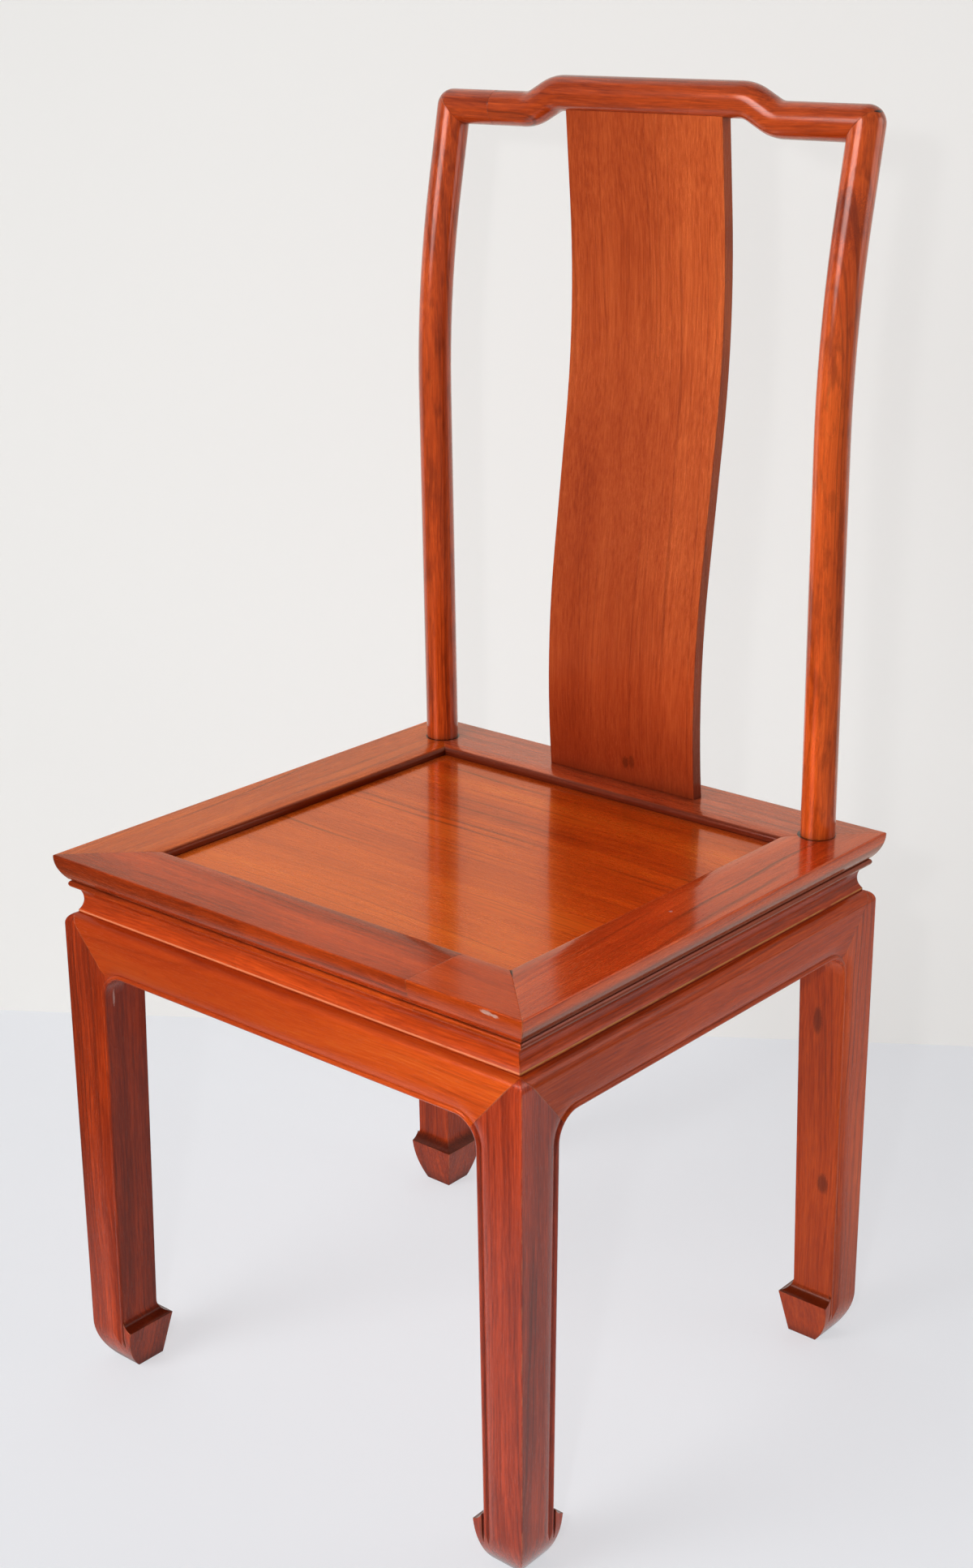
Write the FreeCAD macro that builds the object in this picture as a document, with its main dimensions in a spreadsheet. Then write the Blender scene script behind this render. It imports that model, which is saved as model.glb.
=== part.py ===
import FreeCAD, Part
import Sketcher
import math
import os
import re
from FreeCAD import Placement, Rotation, Vector

# A waisted side chair in lacquered hardwood, built from separate joined pieces.
# Frame: +Z up, the floor at Z = 0, the front towards -Y, the origin under the middle of the seat.

doc = FreeCAD.newDocument("side_chair")

# Driving dimensions in millimetres
DIMENSIONS = {
    # overall
    "seat_width": 472,
    "seat_depth": 452,
    "seat_height": 450,
    "total_height": 1016,
    # seat frame: four mitred rails with a moulded outer edge
    "frame_wide": 62,
    "frame_thick": 27.5,
    "edge_ease": 1.2,
    "thumb_radius": 28.3,
    "thumb_in": 7.6,
    "thumb_low": 20.5,
    "bead_in": 9.5,
    "bead_top": 21.7,
    "bead_radius": 3,
    "crown_wide": 13,
    "crown_drop": 0.7,
    "inner_ease": 4,
    "splice_place": 133,
    # floating panel, its tongue and the battens below it
    "panel_drop": 7,
    "panel_thick": 12,
    "tongue_drop": 1,
    "tongue_thick": 5,
    "tongue_long": 8,
    "tongue_gap": 0.5,
    "batten_place": 80,
    "batten_top": 22,
    "batten_neck": 18,
    "batten_wide": 28,
    "batten_key": 4,
    "batten_lift": 1,
    # waist: a hollow strip between the frame and the apron
    "waist_in": 12,
    "waist_back": 24,
    "waist_tall": 21,
    "waist_lip": 2,
    "cove_radius": 15,
    "strip_tongue": 4,
    "strip_tongue_in": 16,
    # apron and legs
    "leg_in": 4,
    "leg_top": 42,
    "leg_low": 37.5,
    "apron_low": 359.5,
    "apron_thick": 20,
    "apron_round": 9,
    "arch_radius": 20,
    "mitre_top": 6,
    # hoof foot
    "hoof_neck": 50,
    "hoof_tip": 38,
    "hoof_out": 9,
    "hoof_hollow": 12,
    "base_outer": 13,
    "base_inner": 39.5,
    "foot_curve": 34,
    "foot_radius": 51,
    # raised bead along the inner edges of legs and aprons
    "line_bead": 4,
    "line_radius": 2.1,
    "line_roll": 10,
    "line_deep": 1.8,
    "line_roll_radius": 28.7,
    # hidden joints
    "corner_tenon_in": 22,
    "corner_tenon_wide": 24,
    "corner_tenon_thick": 8,
    "corner_tenon_drop": 8,
    "corner_tenon_stop": 12,
    "leg_tenon_long": 10,
    "leg_tenon_thick": 5,
    "leg_tenon_tall": 10,
    "leg_tenon_shoulder": 1,
    "key_deep": 8,
    "key_wide": 14,
    "key_top": 7,
    "key_shoulder": 2,
    "splice_tenon_wide": 26,
    "splice_tenon_thick": 8,
    "splice_tenon_long": 24,
    "batten_tenon_wide": 16,
    "batten_tenon_thick": 5,
    "batten_tenon_long": 10,
    "batten_tenon_lift": 2,
    # back: round posts, plain bent splat and a stepped top rail
    "back_round": 27.6,
    "post_in": 39,
    "post_fore": 5,
    "post_bend_rise": 393,
    "post_bend_radius": 800,
    "rail_back": 14.5,
    "rail_rise": 13.4,
    "step_left": 100.5,
    "step_right": 108,
    "step_run": 25,
    "step_radius": 30,
    "rail_splice": 150,
    "splat_wide": 150,
    "splat_thick": 10.5,
    "splat_in": 30.5,
    "splat_bend_radius": 800,
    "splat_low_fore": 9,
    "splat_low_rise": 97,
    "splat_high_back": 29,
    "splat_high_rise": 383,
    "splat_top_in": 16,
    "splat_housing": 8,
    "splat_tenon_wide": 130,
    "splat_tenon_thick": 7,
    "splat_tenon_tall": 12,
    "post_tenon_round": 13,
    "post_tenon_tall": 24,
    "spigot_round": 9,
    "spigot_long": 16,
    "corner_pin_long": 8,
}

sizes = doc.addObject("Spreadsheet::Sheet", "Sizes")
for row, (alias, value) in enumerate(DIMENSIONS.items(), start=1):
    sizes.set(f"A{row}", alias)
    sizes.set(f"B{row}", str(value))
    sizes.setAlias(f"B{row}", alias)
doc.recompute()

# Levels and offsets that follow from the driving dimensions
FRAME_LOW = "(seat_height - frame_thick)"
APRON_TOP = "(seat_height - frame_thick - waist_tall)"
WAIST_DROP = "(frame_thick + waist_tall)"
TONGUE_TOP = "(panel_drop + tongue_drop)"
CROWN_RUN = "(crown_wide - inner_ease)"
CROWN_RADIUS = f"(({CROWN_RUN} * {CROWN_RUN} + crown_drop * crown_drop) / (2 * crown_drop))"
BATTEN_TENON_LOW = "(seat_height - frame_thick + batten_tenon_lift)"
TAPER = "((leg_top - leg_low) / (apron_low - hoof_neck))"
LEG_AT_FLOOR = f"(leg_low - {TAPER} * hoof_neck)"
MITRE_SLOPE = f"(({APRON_TOP} - apron_low) / (leg_top - mitre_top))"
RAIL_END_HEIGHT = "(total_height - back_round / 2 - rail_rise)"
RAIL_Y = "(seat_depth / 2 - rail_back)"
POST_X = "(seat_width / 2 - post_in)"
POST_Y = "(seat_depth / 2 - post_in)"
SPLAT_Y = "(seat_depth / 2 - splat_in)"
CLEAR = "1"


def formula(text):
    """Turns the sheet's words in a text into references to its cells."""
    return re.sub(r"[a-z]+(?:_[a-z]+)+", lambda word: "Sizes." + word.group(0), text)


def number(text):
    """The present value of a formula."""
    value = sizes.evalExpression(text)
    return float(getattr(value, "Value", value))


def point(corner):
    return Vector(number(corner[0]), number(corner[1]), 0)


def fix(sketch, geometry, end, corner):
    """Ties one end of a sketch line to a place given by two formulas."""
    for kind, text in zip(("DistanceX", "DistanceY"), corner[:2]):
        tie = sketch.addConstraint(Sketcher.Constraint(kind, -1, 1, geometry, end, number(text)))
        sketch.setExpression(f"Constraints[{tie}]", formula(text))


def fix_radius(sketch, geometry, text):
    tie = sketch.addConstraint(Sketcher.Constraint("Radius", geometry, number(text)))
    sketch.setExpression(f"Constraints[{tie}]", formula(text))


def arc_between(start, stop, radius, left_turn):
    """The short arc from start to stop, with its ends in the order in which the sketch keeps them."""
    half = (stop - start) / 2
    aside = Vector(-half.y, half.x, 0).normalize() * math.sqrt(max(radius ** 2 - half.Length ** 2, 0))
    centre = start + half + (aside if left_turn else -aside)
    first, last = (start, stop) if left_turn else (stop, start)
    angles = [math.atan2(end.y - centre.y, end.x - centre.x) for end in (first, last)]
    return Part.ArcOfCircle(Part.Circle(centre, Vector(0, 0, 1), radius), *angles)


def trace(sketch, corners, closed=True):
    """Draws an outline through corners, each a pair of formulas.

    A corner may go on with "round" and a radius, which rounds it, or with "bulge" or "hollow" and a
    radius, which makes an arc of the side that leaves it, turning left or right.
    """
    count = len(corners)
    places = [point(corner) for corner in corners]
    styles = [corner[2] if len(corner) > 2 else "" for corner in corners]
    starts = list(places)
    stops = list(places)
    for index, style in enumerate(styles):
        if style == "round":
            here = places[index]
            before = (places[index - 1] - here).normalize()
            after = (places[(index + 1) % count] - here).normalize()
            reach = number(corners[index][3]) / math.tan(before.getAngle(after) / 2)
            stops[index] = here + before * reach
            starts[index] = here + after * reach
    sides = []
    for index in range(count if closed else count - 1):
        start = starts[index]
        stop = stops[(index + 1) % count]
        if styles[index] in ("bulge", "hollow"):
            left_turn = styles[index] == "bulge"
            shape = arc_between(start, stop, number(corners[index][3]), left_turn)
            side = sketch.addGeometry(shape, False)
            sides.append((side, 1, 2) if left_turn else (side, 2, 1))
        else:
            side = sketch.addGeometry(Part.LineSegment(start, stop), False)
            sides.append((side, 1, 2))
    for index, corner in enumerate(corners):
        arrives = sides[index - 1] if closed or index > 0 else None
        leaves = sides[index] if closed or index < count - 1 else None
        if styles[index] == "round":
            turn = (places[index] - places[index - 1]).cross(places[(index + 1) % count] - places[index]).z
            shape = arc_between(stops[index], starts[index], number(corner[3]), turn > 0)
            bend = sketch.addGeometry(shape, False)
            first, last = (1, 2) if turn > 0 else (2, 1)
            knee = sketch.addGeometry(Part.Point(places[index]), True)
            sketch.addConstraint([
                Sketcher.Constraint("Tangent", arrives[0], arrives[2], bend, first),
                Sketcher.Constraint("Tangent", bend, last, leaves[0], leaves[1]),
                Sketcher.Constraint("PointOnObject", knee, 1, arrives[0]),
                Sketcher.Constraint("PointOnObject", knee, 1, leaves[0]),
            ])
            fix(sketch, knee, 1, corner)
            fix_radius(sketch, bend, corner[3])
            continue
        if arrives and leaves:
            meet = Sketcher.Constraint("Coincident", arrives[0], arrives[2], leaves[0], leaves[1])
            sketch.addConstraint(meet)
        if leaves:
            fix(sketch, leaves[0], leaves[1], corner)
        else:
            fix(sketch, arrives[0], arrives[2], corner)
        if styles[index] in ("bulge", "hollow"):
            fix_radius(sketch, leaves[0], corner[3])


def draw_circle(sketch, centre, radius):
    circle = Part.Circle(point(centre), Vector(0, 0, 1), number(radius))
    ring = sketch.addGeometry(circle, False)
    fix(sketch, ring, 3, centre)
    fix_radius(sketch, ring, radius)


def new_body(label, turn=0, place=("0", "0")):
    """A body turned about the upright axis and moved to a place on the floor."""
    made = doc.addObject("PartDesign::Body", label)
    made.Label = label
    made.Placement = Placement(Vector(), Rotation(Vector(0, 0, 1), turn))
    made.setExpression("Placement.Base.x", formula(place[0]))
    made.setExpression("Placement.Base.y", formula(place[1]))
    return made


def new_sketch(body, name, role, offset=("0", "0", "0"), lean=None):
    """A sketch on one of the body's own planes, shifted across, along and out of it, and perhaps leaning."""
    made = body.newObject("Sketcher::SketchObject", name)
    plane = [feature for feature in body.Origin.OriginFeatures if feature.Role == role][0]
    made.AttachmentSupport = [(plane, "")]
    made.MapMode = "FlatFace"
    if lean:
        axis, angle = lean
        made.AttachmentOffset = Placement(Vector(), Rotation(axis, number(angle)))
        made.setExpression("AttachmentOffset.Rotation.Angle", formula(angle))
    for axis, text in zip("xyz", offset):
        made.setExpression(f"AttachmentOffset.Base.{axis}", formula(text))
    return made


def extrude(body, kind, sketch, length=None, reverse=False):
    """Pads or pockets a sketch; without a length it runs through everything, both ways."""
    made = body.newObject("PartDesign::" + kind, sketch.Name + kind)
    made.Profile = sketch
    made.Reversed = reverse
    if length is None:
        made.SideType = "Symmetric"
        made.Type = "ThroughAll"
    else:
        made.setExpression("Length", formula(length))
    return made


def rectangle(left, right, low, high):
    return [(left, low), (right, low), (right, high), (left, high)]


def block(body, kind, name, across, along, low, high):
    """A rectangular tenon or mortise between two levels."""
    level = low if kind == "Pad" else high
    sketch = new_sketch(body, name, "XY_Plane", ("0", "0", level))
    for left, right in across:
        trace(sketch, rectangle(left, right, *along))
    return extrude(body, kind, sketch, f"({high}) - ({low})")


def both_ends(length, near, far):
    """The same stretch at both ends of a side, measured from the ends."""
    half = f"({length}) / 2"
    return [(f"-{half} + {near}", f"-{half} + {far}"), (f"{half} - {far}", f"{half} - {near}")]


def mitre_ends(body, name, length, reach, ends=(-1, 1)):
    """Cuts a side at 45 degrees in plan from the seat's corners inwards."""
    far = f"(frame_wide + {CLEAR})"
    sketch = new_sketch(body, name, "XY_Plane")
    for end in ends:
        corner = [
            (f"{end} * ({length} / 2 + {CLEAR})", f"-{reach} - {CLEAR}"),
            (f"{end} * ({length} / 2 + {CLEAR})", f"-{reach} + {far}"),
            (f"{end} * ({length} / 2 - {far})", f"-{reach} + {far}"),
        ]
        trace(sketch, corner)
    extrude(body, "Pocket", sketch)


# The four sides of the chair: name, turn, length along the side, distance of the edge from the middle
SIDES = {
    "front": (0, "seat_width", "(seat_depth / 2)"),
    "right": (90, "seat_depth", "(seat_width / 2)"),
    "back": (180, "seat_width", "(seat_depth / 2)"),
    "left": (270, "seat_depth", "(seat_width / 2)"),
}
ENDS = {"left": -1, "right": 1}


def frame_section(body, reach, start, stop):
    """Runs the moulded section of a seat rail along its side."""
    sketch = new_sketch(body, body.Name + "_section", "YZ_Plane", (f"-{reach}", "seat_height", start))
    trace(sketch, [
        ("edge_ease", "0", "bulge", "edge_ease"),
        ("0", "-edge_ease", "bulge", "thumb_radius"),
        ("thumb_in", "-thumb_low"),
        ("bead_in", "-thumb_low"),
        ("bead_in", "-bead_top", "bulge", "bead_radius"),
        ("bead_in", "-frame_thick"),
        ("strip_tongue_in", "-frame_thick"),
        ("strip_tongue_in", "-frame_thick + strip_tongue"),
        ("strip_tongue_in + strip_tongue", "-frame_thick + strip_tongue"),
        ("strip_tongue_in + strip_tongue", "-frame_thick"),
        ("frame_wide", "-frame_thick"),
        ("frame_wide", f"-{TONGUE_TOP} - tongue_thick"),
        ("frame_wide - tongue_long", f"-{TONGUE_TOP} - tongue_thick"),
        ("frame_wide - tongue_long", f"-{TONGUE_TOP}"),
        ("frame_wide", f"-{TONGUE_TOP}"),
        ("frame_wide", "-crown_drop - inner_ease", "bulge", "inner_ease"),
        ("frame_wide - inner_ease", "-crown_drop", "bulge", CROWN_RADIUS),
        ("frame_wide - crown_wide", "0"),
    ])
    extrude(body, "Pad", sketch, f"({stop}) - ({start})")


def leg_mortises(body, length, reach, ends):
    """Sockets under a rail for the tenons on top of the legs."""
    far = "(leg_in + leg_top - leg_tenon_shoulder)"
    spans = both_ends(length, f"({far} - leg_tenon_long)", far)
    near = f"-{reach} + leg_in + apron_thick + leg_tenon_shoulder"
    along = (near, f"{near} + leg_tenon_thick")
    top = f"{FRAME_LOW} + leg_tenon_tall"
    chosen = [span for span, end in zip(spans, (-1, 1)) if end in ends]
    block(body, "Pocket", body.Name + "_leg_socket", chosen, along, FRAME_LOW, top)


def corner_tenons(body, kind, length, reach, ends):
    """The hidden tenons at the frame's corners, or the mortises that take them."""
    top = "seat_height - corner_tenon_drop"
    low = f"{top} - corner_tenon_thick"
    near = "corner_tenon_in"
    far = "(corner_tenon_in + corner_tenon_wide)"
    stop = "corner_tenon_stop"
    if kind == "Pad":
        spans = both_ends(length, stop, f"({far} + {CLEAR})")
        along = (f"-{reach} + {near}", f"-{reach} + {far}")
    else:
        spans = both_ends(length, near, far)
        along = (f"-{reach} + {stop}", f"-{reach} + {far}")
    chosen = [span for span, end in zip(spans, (-1, 1)) if end in ends]
    block(body, kind, body.Name + "_corner", chosen, along, low, top)


def batten_mortises(body, reach, places):
    """Sockets in a rail's inner face for the ends of the battens."""
    spans = [(f"{place} - batten_tenon_wide / 2", f"{place} + batten_tenon_wide / 2") for place in places]
    along = (f"-{reach} + frame_wide - batten_tenon_long", f"-{reach} + frame_wide")
    top = f"{BATTEN_TENON_LOW} + batten_tenon_thick"
    block(body, "Pocket", body.Name + "_batten_socket", spans, along, BATTEN_TENON_LOW, top)


def post_socket(body, x, y):
    """A round socket for the foot of a back post, bored down from the top of the frame."""
    sketch = new_sketch(body, body.Name + "_post_socket", "XY_Plane", ("0", "0", "seat_height"))
    draw_circle(sketch, (x, y), "post_tenon_round / 2")
    extrude(body, "Pocket", sketch, "post_tenon_tall")


def seat_rail(side, label, start, stop, ends):
    """One rail of the seat frame, with its mitred ends, grooves and sockets."""
    turn, length, reach = SIDES[side]
    body = new_body(label, turn)
    frame_section(body, reach, start, stop)
    mitre_ends(body, label + "_mitre", length, reach, ends)
    corner_tenons(body, "Pad" if side in ("front", "back") else "Pocket", length, reach, ends)
    leg_mortises(body, length, reach, ends)
    return body


def splice_tenon(body, kind, reach, splice):
    """The tongue that joins the short end piece to the front rail, or its socket."""
    middle = f"(-{reach} + frame_wide / 2)"
    along = (f"{middle} - splice_tenon_wide / 2", f"{middle} + splice_tenon_wide / 2")
    top = "seat_height - corner_tenon_drop"
    spans = [(f"{splice} - splice_tenon_long", f"{splice} + {CLEAR}" if kind == "Pad" else splice)]
    block(body, kind, body.Name + "_splice", spans, along, f"{top} - splice_tenon_thick", top)


def make_seat_frame():
    half_width = "seat_width / 2"
    half_depth = "seat_depth / 2"
    places = ("-batten_place", "batten_place")
    front = seat_rail("front", "seat_rail_front", f"-{half_width}", "splice_place", (-1,))
    splice_tenon(front, "Pocket", f"({half_depth})", "splice_place")
    batten_mortises(front, f"({half_depth})", places)
    short = seat_rail("front", "seat_rail_front_end", "splice_place", half_width, (1,))
    splice_tenon(short, "Pad", f"({half_depth})", "splice_place")
    back = seat_rail("back", "seat_rail_back", f"-{half_width}", half_width, (-1, 1))
    batten_mortises(back, f"({half_depth})", places)
    for end in (-1, 1):
        post_socket(back, f"{end} * {POST_X}", f"-{POST_Y}")
    spans = [("-splat_tenon_wide / 2", "splat_tenon_wide / 2")]
    along = (f"-{SPLAT_Y} - splat_tenon_thick / 2", f"-{SPLAT_Y} + splat_tenon_thick / 2")
    block(back, "Pocket", "splat_socket", spans, along, "seat_height - splat_tenon_tall", "seat_height")
    right = seat_rail("right", "seat_rail_right", f"-{half_depth}", half_depth, (-1, 1))
    post_socket(right, POST_Y, f"-{POST_X}")
    left = seat_rail("left", "seat_rail_left", f"-{half_depth}", half_depth, (-1, 1))
    post_socket(left, f"-{POST_Y}", f"-{POST_X}")
    return [front, short, back, right, left]


def batten_key(place):
    """The dovetailed key that holds a batten in the panel, seen from the front."""
    low = "seat_height - panel_drop - panel_thick"
    return [
        (f"{place} - batten_neck / 2", low),
        (f"{place} + batten_neck / 2", low),
        (f"{place} + batten_top / 2", f"{low} + batten_key"),
        (f"{place} - batten_top / 2", f"{low} + batten_key"),
    ]


def make_panel():
    body = new_body("seat_panel")
    wide = "(seat_width / 2 - frame_wide - tongue_gap)"
    deep = "(seat_depth / 2 - frame_wide - tongue_gap)"
    top = "seat_height - panel_drop"
    block(body, "Pad", "panel_field", [(f"-{wide}", wide)], (f"-{deep}", deep), f"{top} - panel_thick", top)
    spans = [(f"-{wide} - tongue_long", f"{wide} + tongue_long")]
    along = (f"-{deep} - tongue_long", f"{deep} + tongue_long")
    tongue_top = f"(seat_height - {TONGUE_TOP})"
    block(body, "Pad", "panel_tongue", spans, along, f"{tongue_top} - tongue_thick", tongue_top)
    slots = new_sketch(body, "panel_slots", "XZ_Plane")
    for place in ("-batten_place", "batten_place"):
        trace(slots, batten_key(place))
    extrude(body, "Pocket", slots)
    return body


def make_batten(label, place):
    """A batten that runs front to back below the panel, keyed into it and tenoned into the rails."""
    body = new_body(label)
    inside = "(seat_depth / 2 - frame_wide)"
    low = f"({FRAME_LOW} + batten_lift)"
    panel_low = "(seat_height - panel_drop - panel_thick)"
    section = new_sketch(body, label + "_section", "XZ_Plane", ("0", "0", f"-{inside}"))
    key = batten_key(place)
    trace(section, [
        (f"{place} - batten_wide / 2", low),
        (f"{place} + batten_wide / 2", low),
        (f"{place} + batten_wide / 2", panel_low),
        *key[1:],
        key[0],
        (f"{place} - batten_wide / 2", panel_low),
    ])
    extrude(body, "Pad", section, f"2 * {inside}")
    span = [(f"{place} - batten_tenon_wide / 2", f"{place} + batten_tenon_wide / 2")]
    reach = f"({inside} + batten_tenon_long)"
    tenon_top = f"{BATTEN_TENON_LOW} + batten_tenon_thick"
    block(body, "Pad", label + "_tenon", span, (f"-{reach}", reach), BATTEN_TENON_LOW, tenon_top)
    return body


def make_waist(side):
    """A hollow-faced strip, tongued into the frame above and the apron below."""
    turn, length, reach = SIDES[side]
    body = new_body("waist_" + side, turn)
    start = (f"-{reach}", "seat_height", f"-{length} / 2")
    section = new_sketch(body, body.Name + "_section", "YZ_Plane", start)
    tongue_out = "strip_tongue_in"
    tongue_back = "strip_tongue_in + strip_tongue"
    trace(section, [
        ("waist_in", "-frame_thick", "hollow", "cove_radius"),
        ("waist_in", f"-{WAIST_DROP} + waist_lip"),
        ("waist_in", f"-{WAIST_DROP}"),
        (tongue_out, f"-{WAIST_DROP}"),
        (tongue_out, f"-{WAIST_DROP} - strip_tongue"),
        (tongue_back, f"-{WAIST_DROP} - strip_tongue"),
        (tongue_back, f"-{WAIST_DROP}"),
        ("waist_back", f"-{WAIST_DROP}"),
        ("waist_back", "-frame_thick"),
        (tongue_back, "-frame_thick"),
        (tongue_back, "-frame_thick + strip_tongue"),
        (tongue_out, "-frame_thick + strip_tongue"),
        (tongue_out, "-frame_thick"),
    ])
    extrude(body, "Pad", section, length)
    mitre_ends(body, body.Name + "_mitre", length, reach)
    return body


def line_section(body, name, place, flank=False):
    """The cutter for the bead and the roll beside it, square to the leg's inner edge at the floor."""
    steps = [
        (CLEAR, f"-{CLEAR}"),
        ("-line_bead - line_roll", f"-{CLEAR}"),
        ("-line_bead - line_roll", "0", "bulge", "line_roll_radius"),
        ("-line_bead", "line_deep", "bulge", "line_radius"),
        ("0", "line_deep"),
        (CLEAR, "line_deep"),
    ]
    lean = (Vector(0, 1, 0), f"atan({TAPER})")
    if flank:
        steps = [(step[1], step[0]) + (("hollow", step[3]) if len(step) > 2 else ()) for step in steps]
        lean = (Vector(-1, 0, 0), f"atan({TAPER})")
    sketch = new_sketch(body, name, "XY_Plane", (*place, "0"), lean)
    trace(sketch, steps)
    return sketch


def cut_line(body, name, path, section):
    """Runs the bead's cutter along an inner edge."""
    made = body.newObject("PartDesign::SubtractivePipe", name)
    made.Profile = section
    made.Spine = (path, [f"Edge{index + 1}" for index in range(len(path.Shape.Edges))])
    return made


def make_apron(side):
    """An apron with mitred ends, an arched lower edge and a rounded top edge."""
    turn, length, reach = SIDES[side]
    body = new_body("apron_" + side, turn)
    half = f"({length} / 2 - leg_in)"
    face = f"({reach} - leg_in)"
    low = "(apron_low - arch_radius)"
    drop = f"({APRON_TOP} - {low})"
    front = new_sketch(body, body.Name + "_front", "XZ_Plane", ("0", "0", face))
    trace(front, [
        (f"-{half} + mitre_top", APRON_TOP),
        (f"-{half} + mitre_top + {drop} / {MITRE_SLOPE}", low),
        (f"{half} - mitre_top - {drop} / {MITRE_SLOPE}", low),
        (f"{half} - mitre_top", APRON_TOP),
    ])
    extrude(body, "Pad", front, "apron_thick", reverse=True)
    arch = new_sketch(body, body.Name + "_arch", "XZ_Plane", ("0", "0", face))
    trace(arch, [
        (f"-{half} + {LEG_AT_FLOOR}", "0"),
        (f"{half} - {LEG_AT_FLOOR}", "0"),
        (f"{half} - leg_top", "apron_low", "round", "arch_radius"),
        (f"-{half} + leg_top", "apron_low", "round", "arch_radius"),
    ])
    extrude(body, "Pocket", arch)
    mitre_ends(body, body.Name + "_mitre", length, reach)
    edge = new_sketch(body, body.Name + "_edge", "YZ_Plane", (f"-{face}", APRON_TOP, f"-{half}"))
    trace(edge, [
        (f"-{CLEAR}", CLEAR),
        (f"-{CLEAR}", "-apron_round"),
        ("0", "-apron_round", "hollow", "apron_round"),
        ("apron_round", "0"),
        ("apron_round", CLEAR),
    ])
    extrude(body, "Pocket", edge, f"2 * {half}", reverse=True)
    groove = (f"-{reach} + strip_tongue_in", f"-{reach} + strip_tongue_in + strip_tongue")
    groove_low = f"{APRON_TOP} - strip_tongue"
    block(body, "Pocket", body.Name + "_groove", [(f"-{half}", half)], groove, groove_low, APRON_TOP)
    key_near = "(leg_in + leg_top - key_shoulder - key_wide)"
    key_along = (f"-{face} + apron_thick - key_deep", f"-{face} + apron_thick + {CLEAR}")
    spans = both_ends(length, key_near, f"({key_near} + key_wide)")
    block(body, "Pocket", body.Name + "_key", spans, key_along, low, f"{APRON_TOP} - key_top")
    path = new_sketch(body, body.Name + "_path", "XZ_Plane", ("0", "0", face))
    trace(path, [
        (f"-{half} + {LEG_AT_FLOOR}", "0"),
        (f"-{half} + leg_top", "apron_low", "round", "arch_radius"),
        (f"{half} - leg_top", "apron_low", "round", "arch_radius"),
        (f"{half} - {LEG_AT_FLOOR}", "0"),
    ], closed=False)
    section = line_section(body, body.Name + "_line", (f"-{half} + {LEG_AT_FLOOR}", f"-{face}"))
    doc.recompute()
    cut_line(body, body.Name + "_bead", path, section)
    return body


def leg_profile():
    """A leg from the side: across from its outer face, up from the floor."""
    return [
        ("apron_round", APRON_TOP, "bulge", "apron_round"),
        ("0", f"{APRON_TOP} - apron_round"),
        ("0", "foot_curve", "bulge", "foot_radius"),
        ("base_outer", "0"),
        ("base_inner", "0"),
        ("leg_low + hoof_out", "hoof_tip", "hollow", "hoof_hollow"),
        ("leg_low", "hoof_neck"),
        (f"leg_top + {TAPER} * ({APRON_TOP} - apron_low)", APRON_TOP),
    ]


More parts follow.
